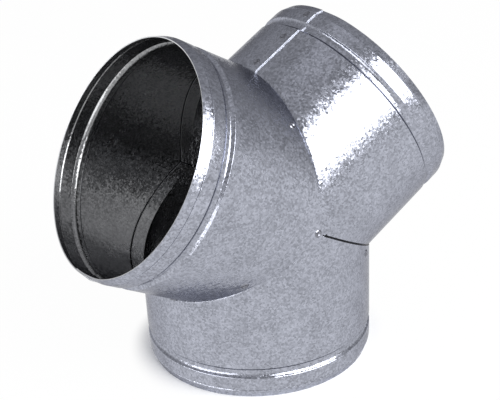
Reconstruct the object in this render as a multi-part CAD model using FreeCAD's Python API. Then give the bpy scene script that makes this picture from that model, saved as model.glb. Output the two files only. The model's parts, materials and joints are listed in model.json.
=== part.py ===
"""A symmetric duct Y branch: three rolled sheet-steel necks, mitred, flanged and spot welded."""
import FreeCAD
import Part
import math
import os

Vector = FreeCAD.Vector

# Driving dimensions, in millimetres and degrees
PIPE_BORE = 150.0         # inside diameter of the round pipe that slips over a collar
SLIP = 0.4                # radial clearance between that pipe and the collar
SHEET = 0.6               # sheet thickness
NECK_LENGTH = 103.0       # from the point where the three axes cross to each mouth
BRANCH_LEAN = 60.0        # each branch's lean from the vertical

TAPER_LENGTH = 5.6        # lead-in cone at each mouth
TAPER_DROP = 2.1          # how far that cone draws the edge in
GROOVE_FROM_MOUTH = 14.3  # rolled stiffening groove, measured to its nearer corner
GROOVE_WIDTH = 6.9
GROOVE_DEPTH = 2.0
GROOVE_FLANK = 60.0       # slope of the groove's sides

SEAM_LAP = 12.0           # width of the lengthwise lap seam
SEAM_OFFSET = 9.0         # from the crotch line round to the seam's outer edge
SEAM_JOGGLE = 20.0        # stretch in which the sheet steps in to pass under the other edge
SEAM_CLEARANCE = 0.6      # from the foot of that step to the outer edge

LAP_GAP = 0.1             # air left between the sheets of two necks
FLANGE_WIDTH = 10.0       # bent flange inside the neighbouring neck
FLANGE_BEND = 1.4         # stretch in which a neck steps in to its flange
TIGHT_BEND = 0.5          # the same at the joint between the main neck and the right branch
FLANGE_GAP = 0.4          # between two flanges that meet inside one neck
RELIEF = 2.0              # room that a flange leaves on each side of a seam
EDGE_SETBACK = 0.3        # how far an outer neck's edge stops short of the joint plane
OPEN_SETBACK = 0.8        # the same at the joint between the main neck and the right branch
TOP_TRIM = 2.0            # the same at the joint between the two branches

NECK_RADIUS = PIPE_BORE/2 - SLIP
LAYER = SHEET + LAP_GAP
UP = Vector(0, 0, 1)
ACROSS = Vector(0, 1, 0)
CROSSING = UP*NECK_LENGTH
LEAN = {"main_neck": 180.0, "left_branch": -BRANCH_LEAN, "right_branch": BRANCH_LEAN}
# Each joint: the neck whose edge lies outside, the neck flanged under it, the edge's setback, the flange bend
JOINTS = (
    ("left_branch", "right_branch", TOP_TRIM, FLANGE_BEND),
    ("left_branch", "main_neck", EDGE_SETBACK, FLANGE_BEND),
    ("main_neck", "right_branch", OPEN_SETBACK, TIGHT_BEND),
)


def axis_of(neck):
    lean = math.radians(LEAN[neck])
    return Vector(math.sin(lean), 0, math.cos(lean))


def radial(angle):
    """Direction out from an upright neck's axis: 0 faces the front and -90 the crotch with the seam."""
    turn = math.radians(angle)
    return Vector(math.sin(turn), -math.cos(turn), 0)


def arc_degrees(length):
    return math.degrees(length/NECK_RADIUS)


def placed(shape, neck):
    """A shape built about an upright neck's axis, carried to the neck's real place."""
    shape = shape.copy()
    shape.Placement = FreeCAD.Placement(CROSSING, FreeCAD.Rotation(ACROSS, LEAN[neck]))*shape.Placement
    return shape


def beyond(direction, distance):
    """All the space further than a distance from the crossing, along a direction."""
    reach = 4*NECK_LENGTH + 4*NECK_RADIUS
    block = Part.makeBox(reach, reach, reach, Vector(-reach/2, -reach/2, 0))
    block.Placement = FreeCAD.Placement(CROSSING + direction*distance, FreeCAD.Rotation(UP, direction))
    return block


def sheet_side(line, offset):
    """Points of one face of the sheet, at an offset from its middle line."""
    runs = [(after - before).normalize() for before, after in zip(line, line[1:])]
    normals = [Vector(-run.z, 0, run.x) for run in runs]
    points = [line[0] + Vector(offset/normals[0].x, 0, 0)]
    for point, normal_in, normal_out in zip(line[1:], normals, normals[1:]):
        normal = (normal_in + normal_out).normalize()
        points.append(point + normal*(offset/normal.dot(normal_in)))
    return points + [line[-1] + normals[-1]*offset]


def sheet_section():
    """Lengthwise section of a neck's sheet: lead-in cone, collar, groove and plain body."""
    middle = NECK_RADIUS - SHEET/2
    flank = GROOVE_DEPTH/math.tan(math.radians(GROOVE_FLANK))
    groove_end = GROOVE_FROM_MOUTH + GROOVE_WIDTH
    stations = (
        (0, middle - TAPER_DROP),
        (TAPER_LENGTH, middle),
        (GROOVE_FROM_MOUTH, middle),
        (GROOVE_FROM_MOUTH + flank, middle - GROOVE_DEPTH),
        (groove_end - flank, middle - GROOVE_DEPTH),
        (groove_end, middle),
        (NECK_LENGTH + SHEET, middle),
    )
    line = [Vector(radius, 0, NECK_LENGTH - depth) for depth, radius in stations]
    outline = sheet_side(line, SHEET/2) + sheet_side(line, -SHEET/2)[::-1]
    return Part.Face(Part.makePolygon(outline + outline[:1]))


def seam_angles():
    """Where the seam's outer edge lies, and where the sheet's step in ends and begins."""
    edge = -90 + arc_degrees(SEAM_OFFSET)
    foot = edge + arc_degrees(SEAM_CLEARANCE)
    return edge, foot, foot + arc_degrees(SEAM_JOGGLE)


def rolled(section):
    """A lengthwise section rolled into a neck, from its outer edge round to the tongue under that edge."""
    edge, foot, head = seam_angles()
    half_step = (head - foot)/2
    shift = SHEET/(2 - 2*math.cos(math.radians(half_step)))
    turns = (
        (Vector(), 360 - (head - edge)),
        (radial(head)*shift, half_step),
        (radial(foot)*-shift, half_step),
        (Vector(), foot - edge + arc_degrees(SEAM_LAP)),
    )
    section = section.copy()
    section.rotate(Vector(), UP, edge - 90)
    pieces = []
    for centre, angle in turns:
        pieces.append(section.revolve(centre, -UP, angle))
        section.rotate(centre, -UP, angle)
    return pieces[0].multiFuse(pieces[1:])


def across_joint(own, other):
    """Unit direction from one neck's side of a joint plane to the other's."""
    return (axis_of(other) - axis_of(own)).normalize()


def half_facing(own, other):
    """Direction, square to a neck's axis, that faces another neck."""
    along = axis_of(own)
    toward = axis_of(other)
    return (toward - along*along.dot(toward)).normalize()


def seam_relief(neck):
    """Wedge of a neck's inside that its seam takes up."""
    edge, _, head = seam_angles()
    room = arc_degrees(RELIEF)
    start = edge - arc_degrees(SEAM_LAP) - room
    wedge = Part.makeCylinder(NECK_RADIUS, NECK_LENGTH, Vector(), UP, head + room - start)
    wedge.rotate(Vector(), UP, start - 90)
    return placed(wedge, neck)


def flanged(trimmed, whole, inner, outer, bend):
    """The solids that carry a trimmed neck on: a step in by one sheet, then a flange folded at the joint."""
    normal = across_joint(inner, outer)
    away = -half_facing(inner, outer)
    slope = abs(axis_of(inner).dot(normal))
    shrink = 1 - LAYER/NECK_RADIUS
    solids = []
    for face in trimmed.Faces:
        if all(abs((v.Point - CROSSING).dot(normal) + bend) < SHEET/100 for v in face.Vertexes):
            on_joint = face.OuterWire.translated(axis_of(inner)*(-bend/slope)).scaled(shrink, CROSSING)
            step = Part.makeLoft([face.OuterWire, on_joint], True, True)
            solids.append(step.cut(beyond(away, 0)))
    strip = whole.scaled(shrink, CROSSING).cut(beyond(normal, 0)).cut(beyond(-normal, FLANGE_WIDTH*slope))
    strip = strip.cut(beyond(away, -FLANGE_GAP/2)).mirror(CROSSING, normal)
    return solids + [strip.cut(seam_relief(outer))]


def make_neck(neck):
    """One neck: a rolled tube, cut at its two joints, with a flange at each joint where it lies inside."""
    whole = placed(rolled(sheet_section()), neck)
    under = [(outer, bend) for outer, inner, _, bend in JOINTS if inner == neck]
    tube = whole
    for outer, bend in under:
        tube = tube.cut(beyond(across_joint(neck, outer), -bend))
    for outer, bend in under:
        tube = tube.multiFuse(flanged(tube, whole, neck, outer, bend))
    for outer, inner, setback, _ in JOINTS:
        if outer == neck:
            tube = tube.cut(beyond(across_joint(neck, inner), -setback))
    return tube.removeSplitter()


os.makedirs("parts", exist_ok=True)
for name in LEAN:
    make_neck(name).exportStep("parts/" + name + ".step")
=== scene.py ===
import json
import math
from collections import namedtuple

import bmesh
import bpy
from mathutils import Matrix, Vector


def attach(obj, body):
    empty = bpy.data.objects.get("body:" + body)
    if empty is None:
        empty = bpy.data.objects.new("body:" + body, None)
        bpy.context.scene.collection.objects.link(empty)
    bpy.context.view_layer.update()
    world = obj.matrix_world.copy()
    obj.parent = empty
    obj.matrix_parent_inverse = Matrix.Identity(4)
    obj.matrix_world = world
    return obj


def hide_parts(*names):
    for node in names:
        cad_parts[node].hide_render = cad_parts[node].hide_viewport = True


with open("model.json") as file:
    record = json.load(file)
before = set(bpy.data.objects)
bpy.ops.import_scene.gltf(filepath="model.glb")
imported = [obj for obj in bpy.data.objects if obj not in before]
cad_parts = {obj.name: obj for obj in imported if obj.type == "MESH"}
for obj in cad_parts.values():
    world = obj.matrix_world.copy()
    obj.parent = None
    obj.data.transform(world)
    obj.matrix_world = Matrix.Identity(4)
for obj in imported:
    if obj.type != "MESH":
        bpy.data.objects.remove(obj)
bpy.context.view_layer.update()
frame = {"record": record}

bl_info = {
    "name": "Duct Y branch",
    "version": (1, 0, 0),
    "blender": (4, 5, 0),
    "location": "View3D > Sidebar > Duct",
    "description": "Rolls the galvanised necks of a duct Y branch, marks its welds and sets a plain studio",
    "category": "Object",
}

MM = 0.001
MOUNTS = {mount["name"]: mount for mount in frame["record"]["mounts"]}

# The collars in the frame give the necks' radius, their lean and the point where the three axes cross
COLLAR_RADIUS = MOUNTS["main_collar"]["dims"]["r_mm"]*MM
RIGHT_AXIS = Vector(MOUNTS["right_collar"]["axis"])
RIGHT_POINT = Vector(MOUNTS["right_collar"]["pos_m"])
CROSSING = RIGHT_POINT - RIGHT_AXIS*(RIGHT_POINT.x/RIGHT_AXIS.x)
BRANCH_LEAN = math.atan2(RIGHT_AXIS.x, RIGHT_AXIS.z)
LEAN = {"main_neck": math.pi, "left_branch": -BRANCH_LEAN, "right_branch": BRANCH_LEAN}

# How far from a cut's plane a point may lie and still count as on it
ON_CUT = 0.01*MM
CUT_THRESHOLD = 0.001*MM

# Bends sharper than these keep a crisp edge, in a sheet and in a weld mark
SHARP_BEND = math.radians(40)
SHARP_MARK = math.radians(20)

# How far a sheet's large faces outweigh its narrow bends in the shading, out of 100
LARGE_FACE_WEIGHT = 90

HALF_TURN = 180
WHITE = (1, 1, 1, 1)
MIDDLE_TONE = 0.5

# Material slots of a neck: the sheet's two faces, the inner one darkened with painted shade, its cut edge,
# and painted shade in the narrow gap of the open joint
OUTER_FACE, INNER_FACE, CUT_EDGE, CREVICE_SHADE = range(4)

# A joint: the neck whose edge lies outside, the neck flanged under it, the sizes that set that edge back and
# bend that flange, the slot seen at the bend, and the first weld mark and the step in degrees from the front
Joint = namedtuple("Joint", "outer inner setback bend slot first_mark mark_step")
JOINTS = (
    Joint("left_branch", "right_branch", "top_trim", "flange_bend", OUTER_FACE, 0, 45),
    Joint("left_branch", "main_neck", "setback", "flange_bend", OUTER_FACE, 36, 36),
    # The open joint's bend faces take painted shade, a near-black stand-in for the shadow in its gap
    Joint("main_neck", "right_branch", "open_setback", "tight_bend", CREVICE_SHADE, 36, 36),
)


def axis_of(neck):
    """Direction from the crossing to a neck's mouth."""
    return Vector((math.sin(LEAN[neck]), 0, math.cos(LEAN[neck])))


def radial(neck, angle):
    """Direction out from a neck's axis: 0 faces the front and -90 degrees the crotch with the seam."""
    upright = Vector((math.sin(angle), -math.cos(angle), 0))
    return Matrix.Rotation(LEAN[neck], 3, "Y") @ upright


def across_joint(own, other):
    """Unit direction from one neck's side of a joint plane to the other's."""
    return (axis_of(other) - axis_of(own)).normalized()


def number(name, default, description, unit="NONE"):
    """A property for a number, plain or with a unit."""
    return bpy.props.FloatProperty(
        name=name, description=description, default=default, min=0, precision=5, unit=unit)


def length(name, default, description):
    """A property for a length in metres."""
    return number(name, default, description, "LENGTH")


def count(name, default, description):
    """A property for a number of faces or sides."""
    return bpy.props.IntProperty(name=name, description=description, default=default, min=3, max=720)


def degrees(name, default, description):
    """A property for an angle, given in degrees."""
    return bpy.props.FloatProperty(
        name=name, description=description, default=math.radians(default), subtype="ANGLE")


def colour(name, default, description):
    """A property for a linear colour."""
    return bpy.props.FloatVectorProperty(
        name=name, description=description, default=default, min=0, max=1, size=3, subtype="COLOR")


def direction(name, default, description):
    """A property for a direction out from the crossing of the axes."""
    return bpy.props.FloatVectorProperty(
        name=name, description=description, default=default, size=3, subtype="DIRECTION")


class DuctNeckSizes(bpy.types.PropertyGroup):
    """Sizes of the rolled necks."""

    radius: length("Neck radius", COLLAR_RADIUS, "Outside radius of a collar")
    reach: length("Neck length", CROSSING.z, "From the crossing of the axes to a mouth")
    sheet: length("Sheet", 0.6*MM, "Sheet thickness")
    lap_gap: length("Lap gap", 0.1*MM, "Air between two lapped sheets")
    taper_length: length("Lead-in length", 5.6*MM, "Length of the cone at each mouth")
    taper_drop: length("Lead-in drop", 2.1*MM, "How far the cone draws the mouth's edge in")
    crease_depth: length("Crease depth", 0.42*MM, "Depth of the fine crease between cone and collar")
    crease_half: length("Crease half width", 0.60*MM, "Half the width of that crease")
    groove_start: length("Groove start", 14.3*MM, "From the mouth to the groove's nearer corner")
    groove_width: length("Groove width", 6.9*MM, "Between the groove's two shoulders")
    groove_depth: length("Groove depth", 2.0*MM, "Depth of the rolled groove")
    shoulder_bend: length("Shoulder bend", 1.0*MM, "Bend radius of the groove's shoulder towards the mouth")
    floor_bend: length("Floor bend", 3.4*MM, "Bend radius at the groove's floor, towards the mouth")
    floor_round: length("Floor round", 1.6*MM, "Bend radius at the groove's floor, towards the body")
    runout_bend: length("Run-out bend", 0.4*MM, "Bend radius of the groove's shoulder towards the body")
    groove_flank: degrees("Groove flank", 55, "Slope of the groove's side towards the mouth")
    groove_runout: degrees("Groove run-out", 50, "Slope of the groove's side towards the body")
    roller_line: length("Roller line", 45.0*MM, "From the mouth to the faint line left by the rollers")
    roller_depth: length("Roller line depth", 0.05*MM, "Depth of that line")
    roller_half: length("Roller line half width", 0.3*MM, "Half the width of that line")
    seam_offset: length("Seam offset", 9.0*MM, "From the crotch line round to the seam's outer edge")
    seam_lap: length("Seam lap", 12.0*MM, "Width of the lengthwise lap")
    seam_joggle: length("Seam joggle", 20.0*MM, "Stretch in which the sheet steps in at the seam")
    relief: length("Seam relief", 2.0*MM, "Room a flange leaves beside a seam")
    relief_root: length("Relief root", 0.4*MM, "How far a flange passes its neighbour's edge at that relief")
    flange: length("Flange", 10.0*MM, "Width of a flange inside its neighbour")
    flange_bend: length("Flange bend", 1.4*MM, "Stretch in which a neck steps in to its flange")
    tight_bend: length("Tight bend", 0.5*MM, "The same between the main neck and the right branch")
    flange_lift: length("Flange lift", 0.7*MM, "How far a flange's free edge stands off its neighbour")
    setback: length("Edge setback", 0.3*MM, "How far an outer edge stops short of the joint plane")
    open_setback: length("Open setback", 0.8*MM, "The same between the main neck and the right branch")
    top_trim: length("Top trim", 2.0*MM, "The same between the two branches")
    columns: count("Columns", 360, "Faces round a neck")
    bend_steps: count("Bend steps", 6, "Faces across each bend of the groove")


class DuctWeldSizes(bpy.types.PropertyGroup):
    """Sizes of the spot welds' marks."""

    radius: length("Mark radius", 2.6*MM, "Outside radius of a weld mark")
    lip: length("Lip width", 0.75*MM, "Width of each side of the raised lip")
    rise: length("Lip rise", 0.50*MM, "How far the lip stands above the sheet")
    dish: length("Dish depth", 0.46*MM, "How far the middle dips below the lip")
    sink: length("Rim sink", 0.12*MM, "How far the mark's rim is let into the sheet")
    from_edge: length("From the edge", 6.0*MM, "From a joint to its weld marks, along the neck")
    from_seam: length("From the seam", 5.5*MM, "From the seam's edge to its weld marks")
    from_mouth: bpy.props.FloatVectorProperty(
        name="From the mouth", description="From a neck's mouth to the weld marks of its seam",
        default=(8.6*MM, 29.8*MM, 53.6*MM), size=3, precision=5, unit="LENGTH")
    sides: count("Mark sides", 20, "Sides of a weld mark's outline")


class DuctFinishValues(bpy.types.PropertyGroup):
    """Colours and grain of the galvanised sheet."""

    bright: colour("Bright zinc", (0.525, 0.545, 0.63), "Colour of the brightest spangles")
    dull: colour("Dull zinc", (0.22, 0.23, 0.265), "Colour of the dullest spangles")
    # Painted shade: this share darkens the sheet's inner faces to stand in for the shade inside the necks
    inside: colour("Inside", (0.74, 0.72, 0.64), "Share of those colours left on the duller inner face")
    burnt: colour("Burnt zinc", (0.62, 0.61, 0.60), "Share of those colours left on the weld marks")
    # Painted shade: this share darkens the faces at the open joint's bend to stand in for the shadow in its
    # gap
    crevice_shade: colour("Crevice", (0.06, 0.06, 0.06), "Share of those colours left in the open joint's crevice")
    edge: colour("Edge tint", (0.60, 0.60, 0.62), "Share of the reflection left on sheet seen edge on")
    spangle: length("Spangle", 1.1*MM, "Typical size of a zinc crystal")
    grain_fineness: number("Grain fineness", 3.0, "How many times smaller than a spangle the grain is")
    cloud_size: number("Cloud size", 14.0, "How many times larger than a spangle the cloudy patches are")
    crystal_tone: number("Crystal tone", 0.60, "How strongly the crystals brighten the zinc")
    grain_tone: number("Grain tone", 0.80, "How strongly the grain brightens the zinc")
    cloud_tone: number("Cloud tone", 0.50, "How strongly the cloudy patches brighten the zinc")
    tone_offset: number("Tone offset", 0.45, "How far those three together are lowered again")
    tilt: number("Spangle tilt", 0.12, "How far the crystals' faces lean, as a slope")
    relief: number("Grain relief", 0.3, "How strongly the grain stands out")
    relief_height: length("Grain height", 0.08*MM, "Height of the grain")
    roughness: number("Roughness", 0.22, "Mean roughness of the sheet")
    roughness_swing: number("Roughness swing", 0.10, "How far crystals and clouds each change it")
    sheared: colour("Sheared edge", (0.70, 0.71, 0.73), "Colour of the cut edge")
    sheared_wear: length("Sheared edge wear", 12.0*MM, "Typical size of the worn patches on the cut edge")
    sheared_roughness: number("Sheared edge roughness", 0.3, "Least roughness of the cut edge")
    sheared_swing: number("Sheared edge swing", 0.2, "How much rougher the worn patches are")


class DuctStageValues(bpy.types.PropertyGroup):
    """Floor, lamps, surroundings and view of the studio."""

    floor: colour("Floor", (0.95, 0.95, 0.95), "Colour of the floor")
    floor_radius: length("Floor radius", 25.0, "Radius of the floor")
    floor_sides: count("Floor sides", 64, "Sides of the floor's outline")
    floor_roughness: number("Floor roughness", 0.9, "Roughness of the floor")
    floor_glow: number("Floor glow", 0.97, "Share of even white in the floor as it is seen or mirrored")
    shade_start: length("Shade start", 0.072, "From the middle to where the floor begins to brighten")
    shade_end: length("Shade end", 0.090, "From the middle to where the floor is fully bright")
    gleam_end: length("Gleam end", 0.077, "The same for the floor as the metal mirrors it")
    lamp_distance: length("Lamp distance", 2.0, "From the crossing of the axes to each lamp")
    softbox_way: direction("Softbox direction", (0.20, -0.82, 0.54), "Towards the front softbox")
    softbox_width: length("Softbox width", 2.1, "Width of the front softbox")
    softbox_height: length("Softbox height", 1.25, "Height of the front softbox")
    softbox_watts: number("Softbox power", 52.0, "Power of the front softbox", "POWER")
    fill_way: direction("Fill direction", (-0.97, -0.10, 0.20), "Towards the fill light on the left")
    fill_width: length("Fill width", 1.8, "Width of the fill light")
    fill_height: length("Fill height", 0.95, "Height of the fill light")
    fill_watts: number("Fill power", 16.0, "Power of the fill light", "POWER")
    horizon: colour("Horizon", (0.80, 0.80, 0.80), "Brightness of the surroundings at eye level")
    upper: colour("Upper walls", (0.46, 0.46, 0.47), "Brightness of the surroundings above eye level")
    upper_sine: number("Upper walls' start", 0.35, "Sine of the height at which the upper walls begin")
    zenith: colour("Zenith", (0.69, 0.69, 0.71), "Brightness of the surroundings straight above")
    zenith_edge: number("Zenith edge", 0.95, "Sine of the height at which the zenith begins to show")
    zenith_sine: number("Zenith's start", 0.98, "Sine of the height at which the zenith is fully reached")
    far_side: colour("Far side", (0.36, 0.36, 0.37), "Brightness of the surroundings behind, to the right")
    far_way: direction("Far side direction", (0.77, 0.63, 0.10), "Towards the middle of the far side")
    far_edge: number("Far side edge", 0.65, "Cosine of the angle from there at which the far side ends")
    far_core: number("Far side core", 0.92, "Cosine of the angle from there up to which it is even")
    camera_place: bpy.props.FloatVectorProperty(
        name="Camera place", description="From the crossing of the axes to the camera",
        default=(-0.32690, -0.48849, 0.25774), size=3, precision=5, subtype="TRANSLATION")
    camera_azimuth: degrees("Camera azimuth", -33.622, "Turn of the view round the object, from the front")
    camera_elevation: degrees("Camera elevation", 23.846, "How far the view looks down")
    camera_roll: degrees("Camera roll", -2.973, "Turn of the view about its line of sight")
    camera_lens: number("Lens", 71.79336, "Focal length of the lens, in millimetres", "CAMERA")


class Value:
    """A shader socket whose arithmetic adds Math nodes."""

    def __init__(self, finish, socket):
        self.finish = finish
        self.socket = socket

    def maths(self, operation, first, second):
        return self.finish.node("ShaderNodeMath", {"operation": operation}, {0: first, 1: second})

    def __add__(self, other):
        return self.maths("ADD", self, other)

    def __sub__(self, other):
        return self.maths("SUBTRACT", self, other)

    def __mul__(self, other):
        return self.maths("MULTIPLY", self, other)

    def __rsub__(self, other):
        return self.maths("SUBTRACT", other, self)

    __radd__ = __add__
    __rmul__ = __mul__


class Finish:
    """A node tree that is filled by expressions."""

    def __init__(self, owner):
        owner.use_nodes = True
        self.tree = owner.node_tree

    def node(self, kind, settings, sockets, output=0):
        """Adds a node, sets it, feeds its sockets, and returns one of its outputs."""
        made = self.tree.nodes.new(kind)
        for name, setting in settings.items():
            setattr(made, name, setting)
        for name, fed in sockets.items():
            self.feed(made.inputs[name], fed)
        return Value(self, made.outputs[output])

    def vector(self, operation, *operands, output=0):
        """Adds a Vector Math node."""
        return self.node("ShaderNodeVectorMath", {"operation": operation}, dict(enumerate(operands)), output)

    def mixed(self, factor, first, second):
        """A colour between two colours."""
        first_colour, second_colour, blend = 6, 7, 2
        sockets = {"Factor": factor, first_colour: first, second_colour: second}
        return self.node("ShaderNodeMix", {"data_type": "RGBA"}, sockets, blend)

    def risen(self, value, low, high):
        """A soft rise from 0 to 1 while a value passes from low to high."""
        limits = {"Value": value, "From Min": low, "From Max": high}
        return self.node("ShaderNodeMapRange", {"interpolation_type": "SMOOTHSTEP"}, limits)

    def feed(self, socket, fed):
        """Links a value to a socket, or sets the socket to a number or a colour."""
        if isinstance(fed, Value):
            self.tree.links.new(fed.socket, socket)
        else:
            socket.default_value = fed

    def find(self, kind):
        """The node of a kind that the tree already holds."""
        return next(node for node in self.tree.nodes if node.bl_idname == kind)


def opaque(shade):
    """A colour with nothing showing through it."""
    return (*shade, 1)


def galvanised_finish(name="spangled_zinc", share=(1, 1, 1)):
    """Zinc-coated sheet with a share of its full colours: metal broken up by spangles and a finer grain. A
    share below one gives burnt weld marks, or painted shade on the inner faces and in the open joint's gap.
    """
    if name in bpy.data.materials:
        return bpy.data.materials[name]
    values = bpy.context.scene.duct_finish
    material = bpy.data.materials.new(name)
    finish = Finish(material)
    place = finish.node("ShaderNodeTexCoord", {}, {}, output="Object")

    def noise(size, detail):
        return finish.node("ShaderNodeTexNoise", {}, {"Vector": place, "Scale": 1/size, "Detail": detail})

    crystals = {"Vector": place, "Scale": 1/values.spangle}
    cells = finish.node("ShaderNodeTexVoronoi", {"feature": "F1"}, crystals, output="Color")
    crystal = finish.node("ShaderNodeSeparateColor", {}, {"Color": cells})
    grain = noise(values.spangle/values.grain_fineness, detail=2)
    cloud = noise(values.spangle*values.cloud_size, detail=3)
    lightness = values.crystal_tone*crystal + values.grain_tone*grain + values.cloud_tone*cloud
    shader = finish.find("ShaderNodeBsdfPrincipled")
    finish.feed(shader.inputs["Metallic"], 1.0)
    dull, bright = (opaque(Vector(zinc)*Vector(share)) for zinc in (values.dull, values.bright))
    finish.feed(shader.inputs["Base Color"], finish.mixed(lightness - values.tone_offset, dull, bright))
    finish.feed(shader.inputs["Specular Tint"], opaque(values.edge))
    swing = values.roughness_swing
    roughness = values.roughness + swing*(crystal - MIDDLE_TONE) + swing*(cloud - MIDDLE_TONE)
    finish.feed(shader.inputs["Roughness"], roughness)
    normal = finish.node("ShaderNodeNewGeometry", {}, {}, output="Normal")
    lean = finish.vector("SUBTRACT", cells, (MIDDLE_TONE,)*3)
    leant = finish.vector("MULTIPLY_ADD", lean, (values.tilt,)*3, normal)
    facets = finish.vector("NORMALIZE", leant)
    bump = finish.node("ShaderNodeBump", {}, {
        "Height": grain, "Strength": values.relief, "Distance": values.relief_height, "Normal": facets})
    finish.feed(shader.inputs["Normal"], bump)
    return material


def cut_finish():
    """Bright sheared edge of the sheet."""
    name = "cut_edge"
    if name in bpy.data.materials:
        return bpy.data.materials[name]
    values = bpy.context.scene.duct_finish
    material = bpy.data.materials.new(name)
    finish = Finish(material)
    place = finish.node("ShaderNodeTexCoord", {}, {}, output="Object")
    wear = finish.node("ShaderNodeTexNoise", {}, {"Vector": place, "Scale": 1/values.sheared_wear})
    shader = finish.find("ShaderNodeBsdfPrincipled")
    finish.feed(shader.inputs["Metallic"], 1.0)
    finish.feed(shader.inputs["Base Color"], opaque(values.sheared))
    finish.feed(shader.inputs["Roughness"], values.sheared_roughness + values.sheared_swing*wear)
    return material


def deselect_all():
    """Leaves edit mode, with nothing selected."""
    if bpy.context.object and bpy.context.object.mode != "OBJECT":
        bpy.ops.object.mode_set(mode="OBJECT")
    bpy.ops.object.select_all(action="DESELECT")


def select_edges(piece, test):
    """In edit mode, selects the edges whose two ends pass a test."""
    mesh = bmesh.from_edit_mesh(piece.data)
    for edge in mesh.edges:
        edge.select_set(False)
    for edge in mesh.edges:
        if all(test(vertex) for vertex in edge.verts):
            edge.select_set(True)
    mesh.select_flush_mode()
    bmesh.update_edit_mesh(piece.data)


def select_faces(piece, test):
    """In edit mode, selects the faces whose middle passes a test."""
    mesh = bmesh.from_edit_mesh(piece.data)
    for face in mesh.faces:
        face.select_set(False)
    for face in mesh.faces:
        if test(face.calc_center_median()):
            face.select_set(True)
    bmesh.update_edit_mesh(piece.data)


def apply_modifier(piece, kind, **settings):
    """Adds a modifier to a piece, sets it and makes its result the piece's own mesh."""
    modifier = piece.modifiers.new(kind.title(), kind)
    for name, setting in settings.items():
        setattr(modifier, name, setting)
    bpy.ops.object.modifier_apply(modifier=modifier.name)


def turn_of(point):
    """Angle of a point about an upright neck's axis, by the rule of radial()."""
    return math.atan2(point.x, -point.y)


def eased(before, corner, after, radius, steps):
    """Points of the bend that rounds a corner of a neck's profile."""
    run_in = (corner - before).normalized()
    run_out = (after - corner).normalized()
    turn = run_in.angle(run_out)
    inward = (run_out - run_in*run_in.dot(run_out)).normalized()
    start = corner - run_in*(radius*math.tan(turn/2))
    swings = [turn*step/steps for step in range(steps + 1)]
    return [start + (inward*(1 - math.cos(swing)) + run_in*math.sin(swing))*radius for swing in swings]


def notch(before, corner, after, depth, half):
    """Points of a fine line pressed in at a point of a neck's profile."""
    run_in = (corner - before).normalized()
    run_out = (after - corner).normalized()
    return [corner - run_in*half, corner - Vector((0, depth)), corner + run_out*half]


def neck_profile(sizes):
    """Distance from the mouth and radius at each ring of a neck's outer face."""
    flank = sizes.groove_depth/math.tan(sizes.groove_flank)
    runout = sizes.groove_depth/math.tan(sizes.groove_runout)
    groove_end = sizes.groove_start + sizes.groove_width
    floor = sizes.radius - sizes.groove_depth
    corners = [Vector(corner) for corner in (
        (0, sizes.radius - sizes.taper_drop),
        (sizes.taper_length, sizes.radius),
        (sizes.groove_start, sizes.radius),
        (sizes.groove_start + flank, floor),
        (groove_end - runout, floor),
        (groove_end, sizes.radius),
        (sizes.roller_line, sizes.radius),
    )]
    bends = (sizes.shoulder_bend, sizes.floor_bend, sizes.floor_round, sizes.runout_bend)
    rings = corners[:1] + notch(*corners[:3], sizes.crease_depth, sizes.crease_half)
    for before, corner, after, bend in zip(corners[1:], corners[2:], corners[3:], bends):
        rings += eased(before, corner, after, bend, sizes.bend_steps)
    end = Vector((sizes.reach + sizes.flange_bend, sizes.radius))
    rings += notch(*corners[-2:], end, sizes.roller_depth, sizes.roller_half)
    return rings + [end]


def seam_edge(sizes):
    """Angle of the seam's outer edge, on a whole column of faces."""
    column = math.tau/sizes.columns
    return round((sizes.seam_offset/sizes.radius - math.pi/2)/column)*column


def spread_selected(share):
    """Scales what is selected out from an upright neck's axis."""
    bpy.ops.transform.resize(value=(share, share, 1), center_override=(0, 0, 0))


def start_neck(sizes):
    """An upright tube, extruded ring by ring from its mouth."""
    rings = neck_profile(sizes)
    deselect_all()
    bpy.ops.mesh.primitive_circle_add(
        vertices=sizes.columns, radius=rings[0].y, fill_type="NOTHING", location=(0, 0, sizes.reach))
    piece = bpy.context.object
    bpy.ops.object.transform_apply(location=True, rotation=True, scale=True)
    bpy.ops.object.mode_set(mode="EDIT")
    bpy.context.tool_settings.mesh_select_mode = (False, True, False)
    bpy.ops.mesh.select_all(action="SELECT")
    for ring, following in zip(rings, rings[1:]):
        drop = (0, 0, ring.x - following.x)
        bpy.ops.mesh.extrude_edges_move(TRANSFORM_OT_translate={"value": drop})
        spread_selected(following.y/ring.y)
    return piece


def lap_seam(piece, sizes):
    """Splits the tube along its seam, steps one side in and carries it on under the other."""
    edge = seam_edge(sizes)
    column = math.tau/sizes.columns
    near = column/4
    select_edges(piece, lambda vertex: abs(turn_of(vertex.co) - edge) < near)
    bpy.ops.mesh.edge_split(type="EDGE")
    steps = round(sizes.seam_joggle/sizes.radius/column)
    drop = sizes.sheet + sizes.lap_gap

    def inner_side(vertex):
        middles = [turn_of(face.calc_center_median()) for face in vertex.link_faces]
        return abs(turn_of(vertex.co) - edge) < near and all(middle > edge for middle in middles)

    for step in range(1, steps):
        here = edge + step*column
        fall = drop*(1 + math.cos(math.pi*step/steps))/2
        select_edges(piece, lambda vertex: abs(turn_of(vertex.co) - here) < near)
        spread_selected(1 - fall/sizes.radius)
    select_edges(piece, inner_side)
    spread_selected(1 - drop/sizes.radius)
    tongue = round(sizes.seam_lap/sizes.radius/column)
    for _ in range(tongue):
        bpy.ops.mesh.extrude_edges_move()
        bpy.ops.transform.rotate(value=column, orient_axis="Z", center_override=(0, 0, 0))


def trim(normal, distance):
    """Cuts away what lies further than a distance from the crossing along a normal."""
    bpy.ops.mesh.select_all(action="SELECT")
    bpy.ops.mesh.bisect(
        plane_co=CROSSING + normal*distance, plane_no=normal, clear_outer=True, threshold=CUT_THRESHOLD)


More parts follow.
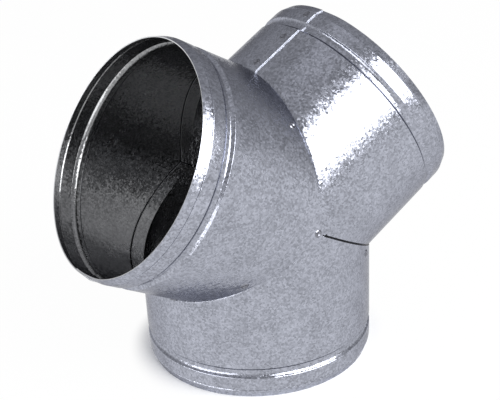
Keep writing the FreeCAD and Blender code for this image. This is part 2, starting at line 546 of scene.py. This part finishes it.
def fold_flange(piece, joint, sizes):
    """Steps a trimmed neck in by one sheet and folds it on along the inside of its neighbour."""
    inner = axis_of(joint.inner)
    outer = axis_of(joint.outer)
    normal = across_joint(joint.inner, joint.outer)
    slope = abs(inner.dot(normal))
    bend = getattr(sizes, joint.bend)

    def on_cut(vertex):
        return abs((vertex.co - CROSSING).dot(normal) + bend) < ON_CUT

    select_edges(piece, on_cut)
    bpy.ops.mesh.extrude_edges_move(TRANSFORM_OT_translate={"value": inner*(-bend/slope)})
    shrink = 1 - (sizes.sheet + sizes.lap_gap)/sizes.radius
    bpy.ops.transform.resize(value=(shrink,)*3, center_override=CROSSING)
    root = getattr(sizes, joint.setback) + sizes.relief_root
    for stretch in (root/slope, sizes.flange - root/slope):
        bpy.ops.mesh.extrude_edges_move(TRANSFORM_OT_translate={"value": outer*stretch})
    lift = 1 - sizes.flange_lift/sizes.radius
    bpy.ops.transform.resize(value=(lift,)*3, center_override=CROSSING + outer*sizes.flange)
    upright = Matrix.Rotation(-LEAN[joint.outer], 3, "Y")
    room = sizes.relief/sizes.radius
    first = seam_edge(sizes) - sizes.seam_lap/sizes.radius - room
    last = seam_edge(sizes) + sizes.seam_joggle/sizes.radius + room

    def beside_seam(point):
        past_root = (point - CROSSING).dot(normal) > root
        return past_root and first < turn_of(upright @ (point - CROSSING)) < last

    select_faces(piece, beside_seam)
    bpy.ops.mesh.delete(type="FACE")
    # The faces at the bend and the flange's root take the joint's slot; at the open joint that is painted
    # shade for the shadow in its gap
    mesh = bmesh.from_edit_mesh(piece.data)
    for face in mesh.faces:
        if -bend < (face.calc_center_median() - CROSSING).dot(normal) < root:
            face.material_index = joint.slot
    bmesh.update_edit_mesh(piece.data)


def face_outwards(piece, neck):
    """Turns the sheet's faces away from the neck's axis."""
    bpy.ops.mesh.select_all(action="SELECT")
    bpy.ops.mesh.normals_make_consistent(inside=False)
    mesh = bmesh.from_edit_mesh(piece.data)
    mesh.faces.ensure_lookup_table()
    face = mesh.faces[0]
    away = face.calc_center_median() - CROSSING
    if face.normal.dot(away - axis_of(neck)*away.dot(axis_of(neck))) < 0:
        bpy.ops.mesh.flip_normals()


def thicken(piece, sizes):
    """Gives a sheet its finishes, its thickness and its crisp edges."""
    values = bpy.context.scene.duct_finish
    # Painted shade on the inner faces: a darkened copy of the zinc that stands in for the shade inside the
    # necks
    inner_painted_shade = galvanised_finish("inner_zinc", values.inside)
    # Painted shade in the open joint's gap: a near-black copy of the zinc that stands in for its shadow
    crevice_shade = galvanised_finish("crevice_zinc", values.crevice_shade)
    for finish in (galvanised_finish(), inner_painted_shade, cut_finish(), crevice_shade):
        piece.data.materials.append(finish)
    apply_modifier(piece, "SOLIDIFY", thickness=sizes.sheet, offset=-1, use_even_offset=True,
                   material_offset=INNER_FACE, material_offset_rim=CUT_EDGE)
    bpy.ops.object.shade_smooth_by_angle(angle=SHARP_BEND)
    apply_modifier(piece, "WEIGHTED_NORMAL", keep_sharp=True, weight=LARGE_FACE_WEIGHT)


def roll_neck(neck, sizes):
    """One neck: rolled, lapped, leant into place, trimmed at its joints, flanged and thickened."""
    piece = start_neck(sizes)
    lap_seam(piece, sizes)
    bpy.ops.object.mode_set(mode="OBJECT")
    piece.rotation_euler = (0, LEAN[neck], 0)
    piece.location = CROSSING
    bpy.ops.object.transform_apply(location=True, rotation=True, scale=True)
    bpy.ops.object.mode_set(mode="EDIT")
    under = [joint for joint in JOINTS if joint.inner == neck]
    for joint in under:
        trim(across_joint(neck, joint.outer), -getattr(sizes, joint.bend))
    for joint in under:
        fold_flange(piece, joint, sizes)
    for joint in JOINTS:
        if joint.outer == neck:
            trim(across_joint(neck, joint.inner), -getattr(sizes, joint.setback))
    face_outwards(piece, neck)
    bpy.ops.object.mode_set(mode="OBJECT")
    thicken(piece, sizes)
    return piece


def dress(piece, name):
    """Names a piece and lets it ride on the part."""
    piece.name = name
    piece.data.name = name
    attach(piece, "root")


class DUCT_OT_roll_necks(bpy.types.Operator):
    """Roll the three necks in place of their solids"""

    bl_idname = "duct.roll_necks"
    bl_label = "Roll the necks"

    def execute(self, context):
        for neck in LEAN:
            piece = roll_neck(neck, context.scene.duct_necks)
            dress(piece, neck + "_sheet")
            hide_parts(neck)
        return {"FINISHED"}


def joint_depth(neck, other, angle, sizes):
    """How far along a neck its joint with another lies, at an angle round the neck."""
    normal = across_joint(neck, other)
    return -sizes.radius*radial(neck, angle).dot(normal)/axis_of(neck).dot(normal)


def weld_places(neck, sizes, welds):
    """Angle and distance from the crossing of each weld mark on a neck."""
    places = []
    for joint in JOINTS:
        if joint.outer == neck:
            side = math.copysign(1, radial(neck, math.pi/2).dot(across_joint(neck, joint.inner)))
            for turn in range(joint.first_mark, HALF_TURN - joint.first_mark + 1, joint.mark_step):
                angle = side*math.radians(turn)
                places.append((angle, joint_depth(neck, joint.inner, angle, sizes) + welds.from_edge))
    beside = seam_edge(sizes) - welds.from_seam/sizes.radius
    for depth in welds.from_mouth:
        places.append((beside, sizes.reach - depth))
    return places


def press_mark(welds):
    """One weld mark, lying flat at the origin: a raised lip round a shallow dish."""
    deselect_all()
    bpy.ops.mesh.primitive_circle_add(vertices=welds.sides, radius=welds.radius, fill_type="NGON")
    mark = bpy.context.object
    bpy.ops.object.mode_set(mode="EDIT")
    bpy.context.tool_settings.mesh_select_mode = (False, False, True)
    bpy.ops.mesh.select_all(action="SELECT")
    bpy.ops.transform.translate(value=(0, 0, -welds.sink))
    bpy.ops.mesh.inset(thickness=welds.lip, depth=welds.sink + welds.rise)
    bpy.ops.mesh.inset(thickness=welds.lip/2, depth=0)
    bpy.ops.mesh.inset(thickness=welds.lip, depth=-welds.dish)
    bpy.ops.object.mode_set(mode="OBJECT")
    return mark


def stamp_mark(first_mark, neck, angle, depth, sizes):
    """A copy of the mark with a mesh of its own, set on a neck."""
    mark = first_mark.copy()
    mark.data = first_mark.data.copy()
    out = radial(neck, angle)
    mark.rotation_euler = out.to_track_quat("Z", "Y").to_euler()
    mark.location = CROSSING + axis_of(neck)*depth + out*sizes.radius
    bpy.context.collection.objects.link(mark)
    return mark


class DUCT_OT_weld_marks(bpy.types.Operator):
    """Set the spot welds' marks along the joints and seams"""

    bl_idname = "duct.weld_marks"
    bl_label = "Mark the welds"

    def execute(self, context):
        sizes = context.scene.duct_necks
        welds = context.scene.duct_welds
        first_mark = press_mark(welds)
        for neck in LEAN:
            places = weld_places(neck, sizes, welds)
            marks = [stamp_mark(first_mark, neck, angle, depth, sizes) for angle, depth in places]
            deselect_all()
            for mark in marks:
                mark.select_set(True)
            context.view_layer.objects.active = marks[0]
            bpy.ops.object.transform_apply(location=True, rotation=True, scale=True)
            bpy.ops.object.join()
            bpy.ops.object.shade_smooth_by_angle(angle=SHARP_MARK)
            marks[0].data.materials.append(galvanised_finish("burnt_zinc", context.scene.duct_finish.burnt))
            dress(marks[0], neck + "_welds")
        bpy.data.objects.remove(first_mark)
        return {"FINISHED"}


def floor_finish(values):
    """A pale floor that looks evenly white and still takes the object's shadow."""
    material = bpy.data.materials.new("pale_floor")
    finish = Finish(material)
    seen, mirrored, through = (finish.node("ShaderNodeLightPath", {}, {}, output=kind) for kind in (
        "Is Camera Ray", "Is Glossy Ray", "Is Transmission Ray"))
    place = finish.node("ShaderNodeTexCoord", {}, {}, output="Object")
    away = finish.vector("LENGTH", place, output="Value")
    bright = finish.risen(away, values.shade_start, values.shade_end)
    gleam = finish.risen(away, values.shade_start, values.gleam_end)
    shown = seen*bright + (mirrored + through)*gleam
    shader = finish.find("ShaderNodeBsdfPrincipled")
    finish.feed(shader.inputs["Base Color"], opaque(values.floor))
    finish.feed(shader.inputs["Roughness"], values.floor_roughness)
    glow = finish.node("ShaderNodeEmission", {}, {"Color": WHITE})
    blend = finish.node("ShaderNodeMixShader", {}, {
        "Fac": values.floor_glow*shown, 1: Value(finish, shader.outputs["BSDF"]), 2: glow})
    finish.feed(finish.find("ShaderNodeOutputMaterial").inputs["Surface"], blend)
    return material


def surroundings(values):
    """Soft studio surroundings: pale at eye level, dimmer above and on the far side, and white where seen."""
    world = bpy.data.worlds.new("studio")
    bpy.context.scene.world = world
    finish = Finish(world)
    way = finish.node("ShaderNodeTexCoord", {}, {}, output="Generated")
    height = finish.node("ShaderNodeSeparateXYZ", {}, {"Vector": way}, output="Z")
    above = finish.risen(height, 0, values.upper_sine)
    walls = finish.mixed(above, opaque(values.horizon), opaque(values.upper))
    overhead = finish.risen(height, values.zenith_edge, values.zenith_sine)
    whole = finish.mixed(overhead, walls, opaque(values.zenith))
    behind = finish.vector("DOT_PRODUCT", way, values.far_way, output="Value")
    turned_away = finish.risen(behind, values.far_edge, values.far_core)
    around = finish.mixed(turned_away, whole, opaque(values.far_side))
    seen = finish.node("ShaderNodeLightPath", {}, {}, output="Is Camera Ray")
    finish.feed(finish.find("ShaderNodeBackground").inputs["Color"], finish.mixed(seen, around, WHITE))


def place_camera(values):
    """A view from the front left, slightly above."""
    turned = Matrix.Rotation(values.camera_azimuth, 4, "Z")
    turned @= Matrix.Rotation(math.pi/2 - values.camera_elevation, 4, "X")
    turned @= Matrix.Rotation(values.camera_roll, 4, "Z")
    data = bpy.data.cameras.new("view")
    data.lens = values.camera_lens
    camera = bpy.data.objects.new("view", data)
    camera.matrix_world = Matrix.Translation(CROSSING + Vector(values.camera_place)) @ turned
    bpy.context.collection.objects.link(camera)
    bpy.context.scene.camera = camera


def place_lamp(values, name):
    """A large soft lamp that faces the object."""
    way = Vector(getattr(values, name + "_way")).normalized()
    data = bpy.data.lights.new(name, "AREA")
    data.shape = "RECTANGLE"
    data.size = getattr(values, name + "_width")
    data.size_y = getattr(values, name + "_height")
    data.energy = getattr(values, name + "_watts")
    lamp = bpy.data.objects.new(name, data)
    lamp.location = CROSSING + way*values.lamp_distance
    lamp.rotation_euler = way.to_track_quat("Z", "Y").to_euler()
    bpy.context.collection.objects.link(lamp)


class DUCT_OT_studio(bpy.types.Operator):
    """Set the floor, the soft light, the surroundings and the camera"""

    bl_idname = "duct.studio"
    bl_label = "Set the studio"

    def execute(self, context):
        values = context.scene.duct_stage
        deselect_all()
        bpy.ops.mesh.primitive_circle_add(
            vertices=values.floor_sides, radius=values.floor_radius, fill_type="NGON")
        floor = context.object
        floor.name = "floor"
        floor.data.materials.append(floor_finish(values))
        surroundings(values)
        for name in ("softbox", "fill"):
            place_lamp(values, name)
        place_camera(values)
        context.scene.view_settings.view_transform = "Standard"
        return {"FINISHED"}


class DUCT_PT_sidebar(bpy.types.Panel):
    """The duct branch's sizes and steps"""

    bl_idname = "DUCT_PT_sidebar"
    bl_label = "Duct Y branch"
    bl_space_type = "VIEW_3D"
    bl_region_type = "UI"
    bl_category = "Duct"

    def draw(self, context):
        for group in SETTINGS:
            box = self.layout.box()
            values = getattr(context.scene, group)
            for name in values.__annotations__:
                box.prop(values, name)
        for step in STEPS:
            self.layout.operator(step.bl_idname)


SETTINGS = {
    "duct_necks": DuctNeckSizes,
    "duct_welds": DuctWeldSizes,
    "duct_finish": DuctFinishValues,
    "duct_stage": DuctStageValues,
}
STEPS = (DUCT_OT_roll_necks, DUCT_OT_weld_marks, DUCT_OT_studio)
CLASSES = (*SETTINGS.values(), *STEPS, DUCT_PT_sidebar)


def register():
    for kind in CLASSES:
        bpy.utils.register_class(kind)
    for name, kind in SETTINGS.items():
        setattr(bpy.types.Scene, name, bpy.props.PointerProperty(type=kind))


def unregister():
    for name in SETTINGS:
        delattr(bpy.types.Scene, name)
    for kind in reversed(CLASSES):
        bpy.utils.unregister_class(kind)


def main():
    register()
    bpy.ops.duct.roll_necks()
    bpy.ops.duct.weld_marks()
    bpy.ops.duct.studio()


if __name__ == "__main__":
    main()
